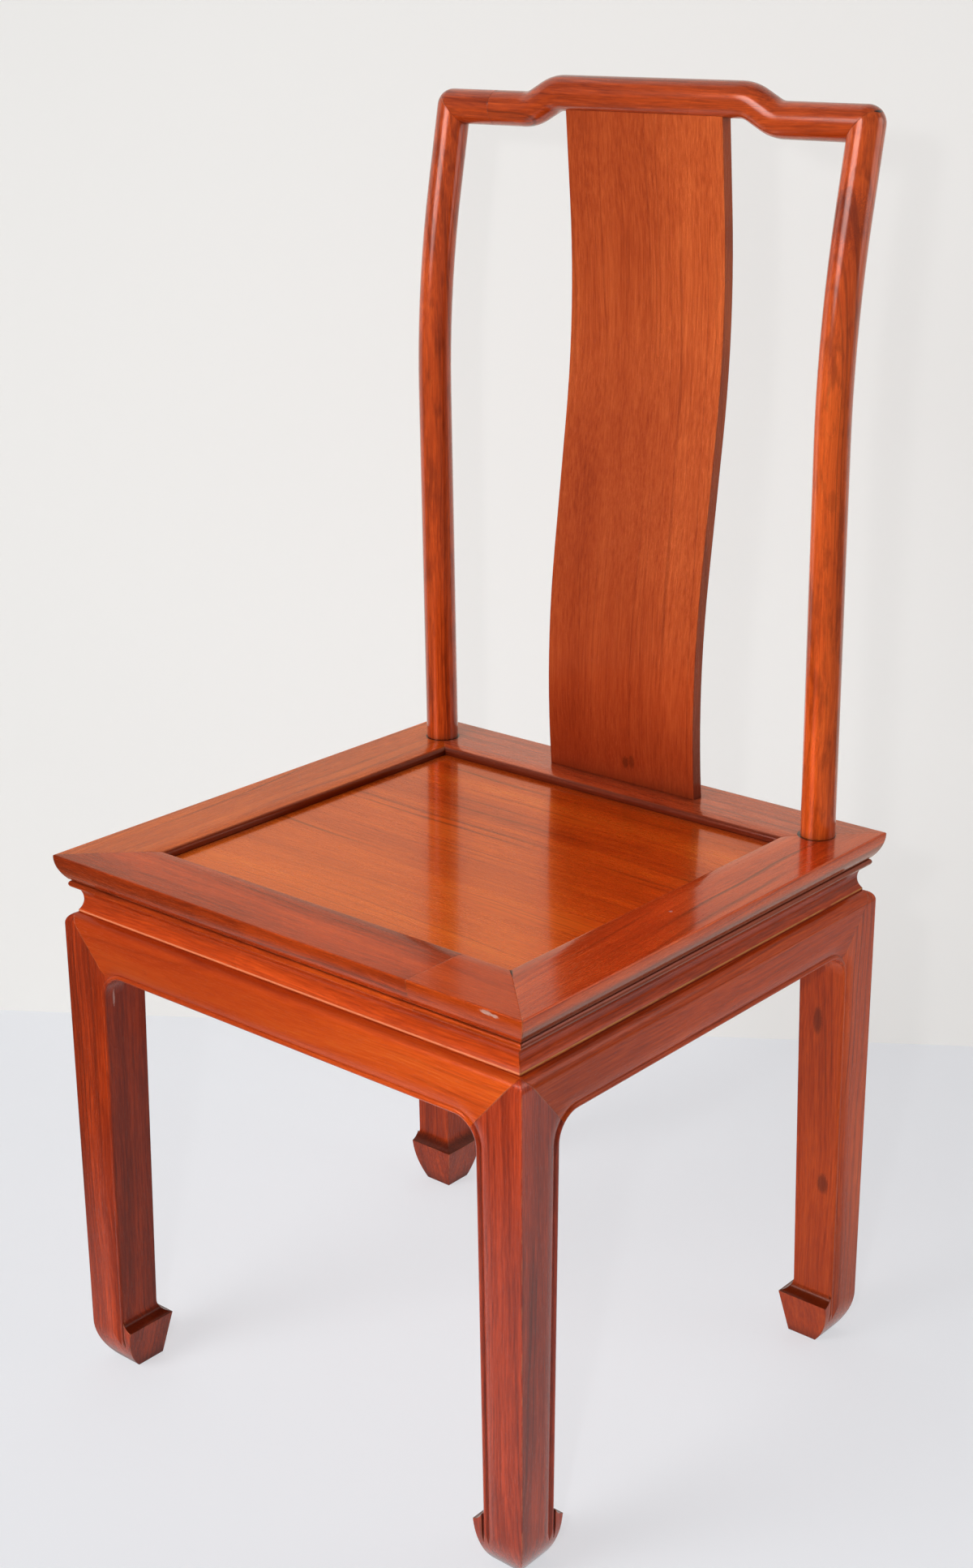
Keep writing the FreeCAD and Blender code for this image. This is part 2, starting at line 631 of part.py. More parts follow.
def make_leg(label, turn, place):
    """A square tapered leg on a hoof foot, with mitred shoulders for two aprons and a tenoned top."""
    body = new_body(label, turn, place)
    deep = "(leg_top + hoof_out)"
    side = new_sketch(body, label + "_side", "XZ_Plane")
    trace(side, leg_profile())
    extrude(body, "Pad", side, deep, reverse=True)
    around = new_sketch(body, label + "_around", "YZ_Plane")
    trace(around, rectangle(f"-{deep}", f"2 * {deep}", f"-{deep}", "seat_height"))
    trace(around, leg_profile())
    extrude(body, "Pocket", around)
    mitre_low = "(apron_low - arch_radius)"
    mitre_far = f"(mitre_top + ({APRON_TOP} - {mitre_low}) / {MITRE_SLOPE})"
    ear = [
        (f"leg_low - {CLEAR}", mitre_low),
        (mitre_far, mitre_low),
        (f"leg_low - {CLEAR}", f"apron_low + (leg_top - leg_low + {CLEAR}) * {MITRE_SLOPE}"),
    ]
    far = "2 * leg_top"
    arch = [
        ("leg_low", "hoof_neck"),
        (far, "hoof_neck"),
        (far, "apron_low"),
        ("leg_top", "apron_low", "round", "arch_radius"),
    ]
    wedge = [
        (f"mitre_top - {CLEAR} / {MITRE_SLOPE}", f"{APRON_TOP} + {CLEAR}"),
        (mitre_far, mitre_low),
        (mitre_far, f"{APRON_TOP} + {CLEAR}"),
    ]
    path = [
        (LEG_AT_FLOOR, "0"),
        ("leg_top", "apron_low", "round", "arch_radius"),
        (far, "apron_low"),
    ]
    for face, role in (("front", "XZ_Plane"), ("flank", "YZ_Plane")):
        inward = face == "flank"
        ear_sketch = new_sketch(body, f"{label}_{face}_ear", role)
        trace(ear_sketch, ear)
        extrude(body, "Pad", ear_sketch, "apron_thick", reverse=not inward)
        arch_sketch = new_sketch(body, f"{label}_{face}_arch", role)
        trace(arch_sketch, arch)
        extrude(body, "Pocket", arch_sketch, "apron_thick", reverse=inward)
        wedge_sketch = new_sketch(body, f"{label}_{face}_wedge", role)
        trace(wedge_sketch, wedge)
        extrude(body, "Pocket", wedge_sketch, "apron_thick", reverse=inward)
    core = [("apron_thick", "leg_top")]
    block(body, "Pad", label + "_core", core, core[0], "apron_low", FRAME_LOW)
    near = "(apron_thick + leg_tenon_shoulder)"
    far_side = "leg_top - leg_tenon_shoulder"
    long_span = (f"{far_side} - leg_tenon_long", far_side)
    thin_span = (near, f"{near} + leg_tenon_thick")
    tenon_top = f"{FRAME_LOW} + leg_tenon_tall"
    block(body, "Pad", label + "_tenon_long", [long_span], thin_span, FRAME_LOW, tenon_top)
    block(body, "Pad", label + "_tenon_side", [thin_span], long_span, FRAME_LOW, tenon_top)
    key_span = ("leg_top - key_shoulder - key_wide", "leg_top - key_shoulder")
    key_depth = ("apron_thick - key_deep", f"apron_thick + {CLEAR}")
    key_top = f"{APRON_TOP} - key_top"
    block(body, "Pad", label + "_key_front", [key_span], key_depth, mitre_low, key_top)
    block(body, "Pad", label + "_key_flank", [key_depth], key_span, mitre_low, key_top)
    for face, role in (("front", "XZ_Plane"), ("flank", "YZ_Plane")):
        path_sketch = new_sketch(body, f"{label}_{face}_path", role)
        trace(path_sketch, path, closed=False)
        flank = face == "flank"
        place = ("0", LEG_AT_FLOOR) if flank else (LEG_AT_FLOOR, "0")
        section = line_section(body, f"{label}_{face}_line", place, flank)
        doc.recompute()
        cut_line(body, f"{label}_{face}_bead", path_sketch, section)
    return body


def make_legs():
    half_x = "(seat_width / 2 - leg_in)"
    half_y = "(seat_depth / 2 - leg_in)"
    return [
        make_leg("leg_front_left", 0, (f"-{half_x}", f"-{half_y}")),
        make_leg("leg_front_right", 90, (half_x, f"-{half_y}")),
        make_leg("leg_back_right", 180, (half_x, half_y)),
        make_leg("leg_back_left", 270, (f"-{half_x}", half_y)),
    ]


def run_along(body, path, section):
    """Carries a section along a path and keeps the solid."""
    doc.recompute()
    made = body.newObject("PartDesign::AdditivePipe", body.Name + "_pipe")
    made.Profile = section
    made.Spine = (path, [f"Edge{index + 1}" for index in range(len(path.Shape.Edges))])
    doc.recompute()


def combine(kind, label, pieces):
    """Fuses several pieces, or cuts the second from the first, or keeps what two share."""
    made = doc.addObject("Part::" + kind, label)
    made.Label = label
    if kind == "MultiFuse":
        made.Shapes = pieces
    else:
        made.Base, made.Tool = pieces
    doc.recompute()
    return made


def solid(kind, name, place, turn=Rotation(), **lengths):
    """A plain ball, rod or block whose lengths follow the sheet."""
    made = doc.addObject("Part::" + kind, name)
    for field, text in lengths.items():
        made.setExpression(field, formula(text))
    made.Placement = Placement(place, turn)
    doc.recompute()
    return made


# Directions at the upper corners of the back, where a post meets the top rail
POST_BEND_Y = f"({POST_Y} - post_fore)"
POST_BEND_HEIGHT = "(seat_height + post_bend_rise)"
POST_UP = Vector(
    0,
    number(f"{RAIL_Y} - {POST_BEND_Y}"),
    number(f"{RAIL_END_HEIGHT} - {POST_BEND_HEIGHT}"),
).normalize()


def corner_place(end):
    """The point where the middle lines of a post and the top rail cross."""
    return Vector(end * number(POST_X), number(RAIL_Y), number(RAIL_END_HEIGHT))


def mitre_block(end, name, above):
    """A block on one side of the mitre between a post and the top rail."""
    normal = Vector(-end, 0, 0) + POST_UP
    turn = Rotation(Vector(0, 0, 1), normal)
    wide = number("3 * back_round")
    shift = Vector(-wide / 2, -wide / 2, 0 if above else -wide)
    sizes_of_block = dict.fromkeys(("Length", "Width", "Height"), "3 * back_round")
    return solid("Box", name, corner_place(end) + turn.multVec(shift), turn, **sizes_of_block)


def corner_pin(end, name):
    """The hidden round tenon that stands up from a post into the top rail."""
    start = corner_place(end) - POST_UP * number("corner_pin_long")
    turn = Rotation(Vector(0, 0, 1), POST_UP)
    return solid("Cylinder", name, start, turn, Radius="spigot_round / 2", Height="2 * corner_pin_long")


def corner_ball(end, name):
    """The rounded outer corner where a post meets the top rail."""
    return solid("Sphere", name, corner_place(end), Radius="back_round / 2")


def make_post(side, end):
    """A round back post, upright at first and then leaning back, mitred to the top rail."""
    label = "back_post_" + side
    body = new_body(label + "_run")
    x = f"{end} * {POST_X}"
    path = new_sketch(body, label + "_path", "YZ_Plane", ("0", "0", x))
    trace(path, [
        (POST_Y, "seat_height"),
        (POST_BEND_Y, POST_BEND_HEIGHT, "round", "post_bend_radius"),
        (RAIL_Y, RAIL_END_HEIGHT),
    ], closed=False)
    section = new_sketch(body, label + "_section", "XY_Plane", ("0", "0", "seat_height"))
    draw_circle(section, (x, POST_Y), "back_round / 2")
    run_along(body, path, section)
    tenon = new_sketch(body, label + "_tenon", "XY_Plane", ("0", "0", "seat_height - post_tenon_tall"))
    draw_circle(tenon, (x, POST_Y), "post_tenon_round / 2")
    extrude(body, "Pad", tenon, "post_tenon_tall")
    doc.recompute()
    whole = combine("MultiFuse", label + "_whole", [body, corner_ball(end, label + "_ball")])
    mitred = combine("Cut", label + "_mitred", [whole, mitre_block(end, label + "_above", True)])
    return combine("MultiFuse", label, [mitred, corner_pin(end, label + "_pin")])


def make_splat():
    """A plain flat board bent in a gentle double curve, tenoned below and housed above."""
    body = new_body("splat")
    path = new_sketch(body, "splat_path", "YZ_Plane")
    trace(path, [
        (SPLAT_Y, "seat_height"),
        (f"{SPLAT_Y} - splat_low_fore", "seat_height + splat_low_rise", "round", "splat_bend_radius"),
        (f"{SPLAT_Y} + splat_high_back", "seat_height + splat_high_rise", "round", "splat_bend_radius"),
        ("seat_depth / 2 - splat_top_in", "total_height - back_round + splat_housing"),
    ], closed=False)
    section = new_sketch(body, "splat_section", "XY_Plane", ("0", "0", "seat_height"))
    thick = ("splat_thick / 2", "splat_wide / 2")
    trace(section, rectangle(f"-{thick[1]}", thick[1], f"{SPLAT_Y} - {thick[0]}", f"{SPLAT_Y} + {thick[0]}"))
    run_along(body, path, section)
    span = [("-splat_tenon_wide / 2", "splat_tenon_wide / 2")]
    along = (f"{SPLAT_Y} - splat_tenon_thick / 2", f"{SPLAT_Y} + splat_tenon_thick / 2")
    block(body, "Pad", "splat_tenon", span, along, "seat_height - splat_tenon_tall", "seat_height")
    doc.recompute()
    return body


def make_top_rail(splat):
    """A round rail with a raised middle, mitred at its ends and spliced near the left end."""
    body = new_body("top_rail_run")
    high = f"({RAIL_END_HEIGHT} + rail_rise)"
    path = new_sketch(body, "top_rail_path", "XZ_Plane", ("0", "0", f"-{RAIL_Y}"))
    trace(path, [
        (f"-{POST_X}", RAIL_END_HEIGHT),
        ("-step_left - step_run / 2", RAIL_END_HEIGHT, "round", "step_radius"),
        ("-step_left + step_run / 2", high, "round", "step_radius"),
        ("step_right - step_run / 2", high, "round", "step_radius"),
        ("step_right + step_run / 2", RAIL_END_HEIGHT, "round", "step_radius"),
        (POST_X, RAIL_END_HEIGHT),
    ], closed=False)
    section = new_sketch(body, "top_rail_section", "YZ_Plane", ("0", "0", f"-{POST_X}"))
    draw_circle(section, (RAIL_Y, RAIL_END_HEIGHT), "back_round / 2")
    run_along(body, path, section)
    balls = [corner_ball(end, f"top_rail_ball_{side}") for side, end in ENDS.items()]
    whole = combine("MultiFuse", "top_rail_whole", [body] + balls)
    away = [mitre_block(end, f"top_rail_below_{side}", False) for side, end in ENDS.items()]
    away += [corner_pin(end, f"top_rail_socket_{side}") for side, end in ENDS.items()]
    away = combine("MultiFuse", "top_rail_away", away + [splat])
    joined = combine("Cut", "top_rail_joined", [whole, away])
    margin = number("back_round")
    middle = corner_place(-1)
    low_corner = middle - Vector(margin, margin, margin)
    length = f"{POST_X} - rail_splice + back_round"
    across = "2 * back_round"
    zone = solid("Box", "rail_end_zone", low_corner, Length=length, Width=across, Height=across)
    seam = Vector(-number("rail_splice + spigot_long"), middle.y, middle.z)
    along_rail = Rotation(Vector(0, 0, 1), Vector(1, 0, 0))
    rod = {"Radius": "spigot_round / 2", "Height": "2 * spigot_long"}
    spigot = solid("Cylinder", "rail_spigot", seam, along_rail, **rod)
    end_blank = combine("Common", "top_rail_end_blank", [joined, zone])
    end_piece = combine("MultiFuse", "top_rail_end", [end_blank, spigot])
    taken = combine("MultiFuse", "top_rail_taken", [zone, spigot])
    return [combine("Cut", "top_rail", [joined, taken]), end_piece]


parts = make_seat_frame()
parts.append(make_panel())
parts += [make_batten(f"seat_batten_{side}", f"{end} * batten_place") for side, end in ENDS.items()]
parts += [make_waist(side) for side in SIDES]
parts += [make_apron(side) for side in SIDES]
parts += make_legs()
parts += [make_post(side, end) for side, end in ENDS.items()]
parts.append(make_splat())
parts += make_top_rail(parts[-1])
doc.recompute()

broken = [item.Name for item in doc.Objects if {"Invalid", "Error"} & set(item.State)]
broken += [part.Label for part in parts if part.Shape.isNull() or not part.Shape.isValid()]
if broken:
    raise RuntimeError("pieces that failed: " + ", ".join(broken))

os.makedirs("parts", exist_ok=True)
for part in parts:
    part.Shape.exportStep(f"parts/{part.Label}.step")
    print(part.Label, len(part.Shape.Solids), round(part.Shape.Volume / 1000, 1), "cm3")
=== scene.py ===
"""The looks of the side chair: lacquered red hardwood, a plain white room and the photograph's camera."""
import math

import bpy
from mathutils import Matrix, Vector


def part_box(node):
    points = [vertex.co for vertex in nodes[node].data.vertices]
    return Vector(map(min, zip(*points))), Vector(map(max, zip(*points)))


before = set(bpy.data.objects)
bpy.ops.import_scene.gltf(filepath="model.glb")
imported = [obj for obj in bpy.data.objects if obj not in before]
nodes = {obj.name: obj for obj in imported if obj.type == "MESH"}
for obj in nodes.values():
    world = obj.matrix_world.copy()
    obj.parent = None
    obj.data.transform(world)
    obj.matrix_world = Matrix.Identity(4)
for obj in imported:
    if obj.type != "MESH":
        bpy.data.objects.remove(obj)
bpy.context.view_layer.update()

# The opening of the seat frame, in metres
OPENING_HALF_WIDE, OPENING_HALF_DEEP = 0.174, 0.164

# Ways on the chair; a place times LEVEL loses its height
UP = (0, 0, 1)
RIGHT = (1, 0, 0)
LEVEL = (1.0, 1.0, 0.0)

# Camera: angles in degrees round the chair, lengths in metres, the sensor in millimetres
IMAGE_WIDE, IMAGE_HIGH = 1200, 1933
CAMERA_TURN, CAMERA_LIFT, CAMERA_ROLL = 40.47, 19.462, -0.36
CAMERA_AIM = Vector((0.01363, 0.0, 0.50229))
CAMERA_DISTANCE = 1.79014
FOCAL_PIXELS = 2861.2
SENSOR = 36.0

# Room: a white wall close behind the chair and a pale floor
WALL_TURN = 34.7
WALL_BEHIND = 0.608
WALL_WIDE, WALL_HIGH = 12.0, 2.6
FLOOR_SIZE = 14.0
WALL_COLOUR = (0.95, 0.94, 0.92)
FLOOR_COLOUR = (0.90, 0.915, 0.95)
PAINT_WAVES = (1.0, 1.0, 1.0)
PAINT_UNEVEN = 0.97
PAINT_ROUGH = 0.7

# Key light: two soft lamps on the left, a few degrees apart; the lacquer mirrors only the first one
KEY_TURN, KEY_LIFT, KEY_DISTANCE = -18.0, 30.0, 2.2
KEYS_APART = 6.0
KEY_SIZE = 1.4
KEY_SPREAD = 75.0
KEY_WATTS = 7.5
MIRRORED_KEY = 0.6

# Other light: a small flash beside the camera, a weak lamp on the right and a fill that is weaker from above
FLASH_LEFT, FLASH_UP = 0.18, 0.09
FLASH_SIZE = 0.06
FLASH_SPREAD = 180.0
FLASH_WATTS = 6.5
SIDE_TURN, SIDE_LIFT, SIDE_DISTANCE = 124.0, 25.0, 1.4
SIDE_SIZE = 0.7
SIDE_SPREAD = 120.0
SIDE_WATTS = 0.8
FILL_COLOUR = (1.0, 0.99, 0.97, 1.0)
FILL_LEVEL, FILL_ABOVE = 0.38, 0.10
SHOWN_FILL = 0.9
MIRRORED_FILL = 0.22

# The white of the room is partly its own; round the chair the lamps' light and shadow show more
ROOM_GLOW = 0.62
GLOW_MIDDLE = (0.30, 0.30, 0.0)
GLOW_INNER, GLOW_OUTER = 1.0, 1.9
FAR_GLOW = 0.97

# In the lacquer's reflections the wall is warmer, and the floor away from the chair is dim and brown
MIRROR_INNER, MIRROR_OUTER = 0.85, 1.2
WALL_MIRROR = (0.25, 0.25, (0.62, 0.40, 0.24))
FLOOR_MIRROR = (0.0, 0.9, (0.30, 0.16, 0.08))

# Lacquers: the coat's weight, roughness and refraction, and how much the pores show as relief
PLAIN_LACQUER = (0.45, 0.12, 1.4, 0.22)
FULL_LACQUER = (0.85, 0.12, 1.4, 0.22)
PANEL_LACQUER = (0.60, 0.10, 1.4, 0.15)
ROUND_LACQUER = (1.0, 0.15, 1.55, 0.06)
PORE_DEPTH = 0.0004

# Fibres under the lacquer shine in their own colour, most where boards lie flat and mirror the wall
FIBRE_SHINE = 0.12
SPLAT_SHINE = 0.22
SEAT_SHINE = 0.42
MIRROR_SHINE = 0.58
PANEL_SHINE = 0.62
FIBRE_TINT = (1.0, 0.72, 0.42, 1.0)
WOOD_IOR = 1.2

# Grain: waves per metre along the fibres and in the two ways across them
WANDER_WAVES = (3.2, 13.0, 13.0)
FIBRE_WAVES = (4.0, 460.0, 460.0)
BROKEN_WAVES = (45.0, 800.0, 800.0)
PORE_WAVES = (120.0, 1900.0, 1900.0)
CLOUD_WAVES = (5.5, 17.0, 17.0)
ZONE_WAVES = (4.0, 26.0, 26.0)
RING_WAVES, BAND_WAVES = 290.0, 48.0

# How far the grain wanders, and the step through the tree from one seed to the next
WANDER_REACH = (0.0, 0.022, 0.022)
SEED_STEP = (1.37, 0.41, 0.73)

# The tree's heart: its lean along a board, and how far it lies from the board's middle in the ways across
PITH = (0.03, 0.11, -0.09)

# How much each layer of the grain changes the tone, the roughness and the relief
NOISE_MEAN = 0.5
MIDDLE_TONE = 0.52
BAND_SHARE, RING_SHARE = 0.30, 0.14
FIBRE_SHARE, BROKEN_SHARE, CLOUD_SHARE = 0.36, 0.44, 0.34
STREAK_SHARE, PORE_SHARE = 0.5, 0.34
WOOD_ROUGH, CLOUD_ROUGH, PORE_ROUGH = 0.25, 0.16, 0.12
FIBRE_RELIEF = 0.35

# Where in the noise pores and streaks start and are full
PORE_STEP = (0.56, 0.74)
STREAK_STEP = (0.46, 0.30)
ZONE_STEP = (0.42, 0.62)

# Wear and painted light: rounded edges are paler in patches, from wear and a painted highlight; crevices are
# darker, from wax, dust and painted shade
EDGE_ROUND = 0.0012
EDGE_TURN = (0.985, 0.86)
PATCH_WAVES = (70.0, 70.0, 70.0)
PATCH_STEP = (0.40, 0.64)
OPEN_STEP = (0.75, 0.95)
WORN_AND_LIT_SHARE = 0.55
CREVICE = 0.017
GRIME_AND_SHADE_STEP = (0.82, 0.22)
GRIME_AND_SHADE_SHARE, GRIME_ROUGH = 0.85, 0.25

# Wood colours from the darkest growth lines to the palest streaks
GRAIN_COLOURS = (
    (0.12, (0.130, 0.012, 0.002)),
    (0.34, (0.320, 0.033, 0.004)),
    (0.52, (0.580, 0.070, 0.008)),
    (0.72, (0.820, 0.125, 0.015)),
    (0.95, (0.950, 0.230, 0.040)),
)
STREAK_COLOUR = (0.110, 0.016, 0.004, 1.0)
PORE_COLOUR = (0.080, 0.010, 0.004, 1.0)
WORN_AND_LIT_COLOUR = (0.900, 0.330, 0.140, 1.0)
GRIME_AND_SHADE_COLOUR = (0.045, 0.008, 0.004, 1.0)

# Marks of use, painted highlights and painted shade: how ragged, broken or soft they are, and their colours
TORN_WAVES = (900.0, 900.0, 900.0)
SPOT_RIM = (1.1, 0.55)
STRIPE_WAVES = (45.0, 45.0, 45.0)
STRIPE_FADE = 0.1
MOTTLE_WAVES = (130.0, 130.0, 28.0)
MOTTLE_STEP = (0.46, 0.68)
MITRE_FULL = 0.2
RING_SOFT = 0.0004
FACING_STEP = (0.15, 0.7)
CHIP = (0.78, 0.46, 0.38)
KNOT = (0.10, 0.014, 0.004)
SEAM = (0.02, 0.005, 0.003)
GAP = (0.012, 0.004, 0.003)


class Graph:
    """Short calls that add nodes to one node tree and link them."""

    def __init__(self, tree):
        self.tree = tree

    def node(self, kind, **settings):
        made = self.tree.nodes.new(kind)
        for name, value in settings.items():
            setattr(made, name, value)
        return made

    def feed(self, socket, value):
        """Links a socket to another one, or sets it to a constant."""
        if isinstance(value, bpy.types.NodeSocket):
            self.tree.links.new(value, socket)
        else:
            socket.default_value = value

    def math(self, operation, *values):
        made = self.node("ShaderNodeMath", operation=operation)
        for socket, value in zip(made.inputs, values):
            self.feed(socket, value)
        return made.outputs[0]

    def vector(self, operation, *values, result="Vector"):
        made = self.node("ShaderNodeVectorMath", operation=operation)
        for socket, value in zip(made.inputs, values):
            self.feed(socket, value)
        return made.outputs[result]

    def combine(self, x, y, z):
        made = self.node("ShaderNodeCombineXYZ")
        for socket, value in zip(made.inputs, (x, y, z)):
            self.feed(socket, value)
        return made.outputs[0]

    def separate(self, vector):
        made = self.node("ShaderNodeSeparateXYZ")
        self.feed(made.inputs[0], vector)
        return made.outputs

    def noise(self, vector, waves, detail=2.0, rough=0.5, result="Fac"):
        """Noise in space, with so many waves per metre along each axis."""
        made = self.node("ShaderNodeTexNoise", noise_dimensions="3D")
        self.feed(made.inputs["Vector"], self.vector("MULTIPLY", vector, waves))
        made.inputs["Scale"].default_value = 1.0
        made.inputs["Detail"].default_value = detail
        made.inputs["Roughness"].default_value = rough
        return made.outputs[result]

    def noise_line(self, place, waves, start, detail=2.0, rough=0.5):
        """Noise along a line, with so many waves per metre, from a start of its own."""
        made = self.node("ShaderNodeTexNoise", noise_dimensions="1D")
        self.feed(made.inputs["W"], self.math("ADD", self.math("MULTIPLY", place, waves), start))
        made.inputs["Scale"].default_value = 1.0
        made.inputs["Detail"].default_value = detail
        made.inputs["Roughness"].default_value = rough
        return made.outputs["Fac"]

    def swing(self, noise, share):
        """Noise as a swing to both sides of zero."""
        return self.math("MULTIPLY", self.math("SUBTRACT", noise, NOISE_MEAN), share)

    def spread(self, value, low, high, to_low=0.0, to_high=1.0):
        """A smooth step from one range to another."""
        made = self.node("ShaderNodeMapRange", interpolation_type="SMOOTHSTEP")
        for socket, number in zip(made.inputs, (value, low, high, to_low, to_high)):
            self.feed(socket, number)
        return made.outputs[0]

    def ramp(self, value, stops):
        made = self.node("ShaderNodeValToRGB")
        self.feed(made.inputs[0], value)
        elements = made.color_ramp.elements
        while len(elements) < len(stops):
            elements.new(0.5)
        for element, (place, colour) in zip(elements, stops):
            element.position = place
            element.color = (*colour, 1.0)
        return made.outputs[0]

    def mix(self, amount, first, second, blend="MIX"):
        """Mixes two colours; sockets 6 and 7 and output 2 are the colour ones of the node."""
        made = self.node("ShaderNodeMix", data_type="RGBA", blend_type=blend, clamp_factor=True)
        self.feed(made.inputs["Factor"], amount)
        self.feed(made.inputs[6], first)
        self.feed(made.inputs[7], second)
        return made.outputs[2]

    def blend(self, amount, first, second):
        """Mixes two shaders."""
        made = self.node("ShaderNodeMixShader")
        self.feed(made.inputs[0], amount)
        self.feed(made.inputs[1], first.outputs[0])
        self.feed(made.inputs[2], second.outputs[0])
        return made


def grain_group():
    """Rosewood figure, in metres: x runs along the grain, y and z across it, from the board's middle."""
    group = bpy.data.node_groups.new("red_hardwood_grain", "ShaderNodeTree")
    for name, kind in (("Place", "NodeSocketVector"), ("Pith", "NodeSocketVector"),
                       ("Shift", "NodeSocketVector"), ("Tone", "NodeSocketFloat"),
                       ("Figure", "NodeSocketFloat"), ("Tint", "NodeSocketColor")):
        group.interface.new_socket(name, in_out="INPUT", socket_type=kind)
    for name, kind in (("Color", "NodeSocketColor"), ("Roughness", "NodeSocketFloat"),
                       ("Height", "NodeSocketFloat")):
        group.interface.new_socket(name, in_out="OUTPUT", socket_type=kind)
    graph = Graph(group)
    given = graph.node("NodeGroupInput").outputs
    result = graph.node("NodeGroupOutput").inputs

    # The grain wanders a few millimetres from a straight line
    moved = graph.vector("ADD", given["Place"], given["Shift"])
    slow = graph.noise(moved, WANDER_WAVES, detail=2, result="Color")
    swung = graph.vector("SUBTRACT", slow, (NOISE_MEAN, NOISE_MEAN, NOISE_MEAN))
    wander = graph.vector("MULTIPLY", swung, WANDER_REACH)
    bent = graph.vector("ADD", moved, wander)
    board = graph.vector("ADD", given["Place"], wander)

    # Growth rings round a pith that leans along the board: x of Pith is the lean
    along, across, depth = graph.separate(board)
    lean, pith_across, pith_depth = graph.separate(given["Pith"])
    leaning = graph.math("ADD", across, graph.math("MULTIPLY", along, lean))
    off_across = graph.math("SUBTRACT", leaning, pith_across)
    off_depth = graph.math("SUBTRACT", depth, pith_depth)
    radius = graph.vector("LENGTH", graph.combine(0.0, off_across, off_depth), result="Value")
    seed = graph.separate(given["Shift"])[0]
    rings = graph.noise_line(radius, RING_WAVES, seed, detail=2, rough=0.6)
    bands = graph.noise_line(radius, BAND_WAVES, seed, detail=1)

    # Long fibres, short broken ones, pores and broad clouds of colour
    fibres = graph.noise(bent, FIBRE_WAVES, detail=4, rough=0.6)
    broken = graph.noise(bent, BROKEN_WAVES, detail=3, rough=0.6)
    pores = graph.noise(bent, PORE_WAVES, detail=2, rough=0.55)
    clouds = graph.noise(moved, CLOUD_WAVES, detail=2)
    zones = graph.noise(moved, ZONE_WAVES, detail=1)
    dashes = graph.spread(pores, *PORE_STEP)

    value = graph.math("ADD", MIDDLE_TONE, given["Tone"])
    for layer, share in ((bands, BAND_SHARE), (rings, RING_SHARE)):
        swing = graph.swing(layer, share)
        value = graph.math("ADD", value, graph.math("MULTIPLY", swing, given["Figure"]))
    for layer, share in ((fibres, FIBRE_SHARE), (broken, BROKEN_SHARE), (clouds, CLOUD_SHARE)):
        value = graph.math("ADD", value, graph.swing(layer, share))
    colour = graph.ramp(value, GRAIN_COLOURS)

    # Dark growth streaks come in groups; pores are fine dashes everywhere
    streaks = graph.math("MULTIPLY", graph.spread(rings, *STREAK_STEP), graph.spread(zones, *ZONE_STEP))
    streaks = graph.math("MULTIPLY", streaks, graph.math("MULTIPLY", given["Figure"], STREAK_SHARE))
    colour = graph.mix(streaks, colour, STREAK_COLOUR)
    colour = graph.mix(graph.math("MULTIPLY", dashes, PORE_SHARE), colour, PORE_COLOUR)
    graph.feed(result["Color"], graph.mix(1.0, colour, given["Tint"], blend="MULTIPLY"))

    gloss = graph.math("ADD", WOOD_ROUGH, graph.swing(clouds, CLOUD_ROUGH))
    graph.feed(result["Roughness"], graph.math("ADD", gloss, graph.math("MULTIPLY", dashes, PORE_ROUGH)))
    relief = graph.math("SUBTRACT", graph.math("MULTIPLY", fibres, FIBRE_RELIEF), dashes)
    graph.feed(result["Height"], relief)
    return group


GRAIN = grain_group()
AXES = {"x": (0, 1, 2), "y": (1, 0, 2), "z": (2, 0, 1)}


def add_wear_and_shade(graph, place, soft_normal, colour, gloss):
    """Makes the edges paler in patches, from wear and a painted highlight, and darkens the crevices with
    wax, dust and painted shade.
    """
    flat_normal = graph.node("ShaderNodeNewGeometry").outputs["Normal"]
    turned = graph.vector("DOT_PRODUCT", soft_normal, flat_normal, result="Value")
    edge = graph.spread(turned, *EDGE_TURN)
    hollow = graph.node("ShaderNodeAmbientOcclusion", samples=6)
    hollow.inputs["Distance"].default_value = CREVICE
    open_air = hollow.outputs["AO"]
    patchy = graph.spread(graph.noise(place, PATCH_WAVES, detail=3), *PATCH_STEP)
    # Pale edges: partly wear, partly a painted highlight
    rubbed_and_lit = graph.math("MULTIPLY", graph.math("MULTIPLY", edge, patchy), graph.spread(open_air, *OPEN_STEP))
    colour = graph.mix(graph.math("MULTIPLY", rubbed_and_lit, WORN_AND_LIT_SHARE), colour, WORN_AND_LIT_COLOUR)
    # Darker crevices where occlusion is high: partly wax and dust, partly painted shade
    grime_and_shade = graph.spread(open_air, *GRIME_AND_SHADE_STEP)
    colour = graph.mix(graph.math("MULTIPLY", grime_and_shade, GRIME_AND_SHADE_SHARE), colour, GRIME_AND_SHADE_COLOUR)
    gloss = graph.math("ADD", gloss, graph.math("MULTIPLY", grime_and_shade, GRIME_ROUGH))
    return colour, gloss


def add_lacquer(graph, shader, lacquer, soft_normal, height):
    """Puts a smooth clear coat over wood whose pores show as faint relief."""
    coat, coat_rough, coat_ior, pore_relief = lacquer
    shader.inputs["Coat Weight"].default_value = coat
    shader.inputs["Coat Roughness"].default_value = coat_rough
    shader.inputs["Coat IOR"].default_value = coat_ior
    relief = graph.node("ShaderNodeBump")
    relief.inputs["Strength"].default_value = pore_relief
    relief.inputs["Distance"].default_value = PORE_DEPTH
    graph.feed(relief.inputs["Height"], height)
    graph.feed(relief.inputs["Normal"], soft_normal)
    graph.feed(shader.inputs["Normal"], relief.outputs["Normal"])
    graph.feed(shader.inputs["Coat Normal"], soft_normal)


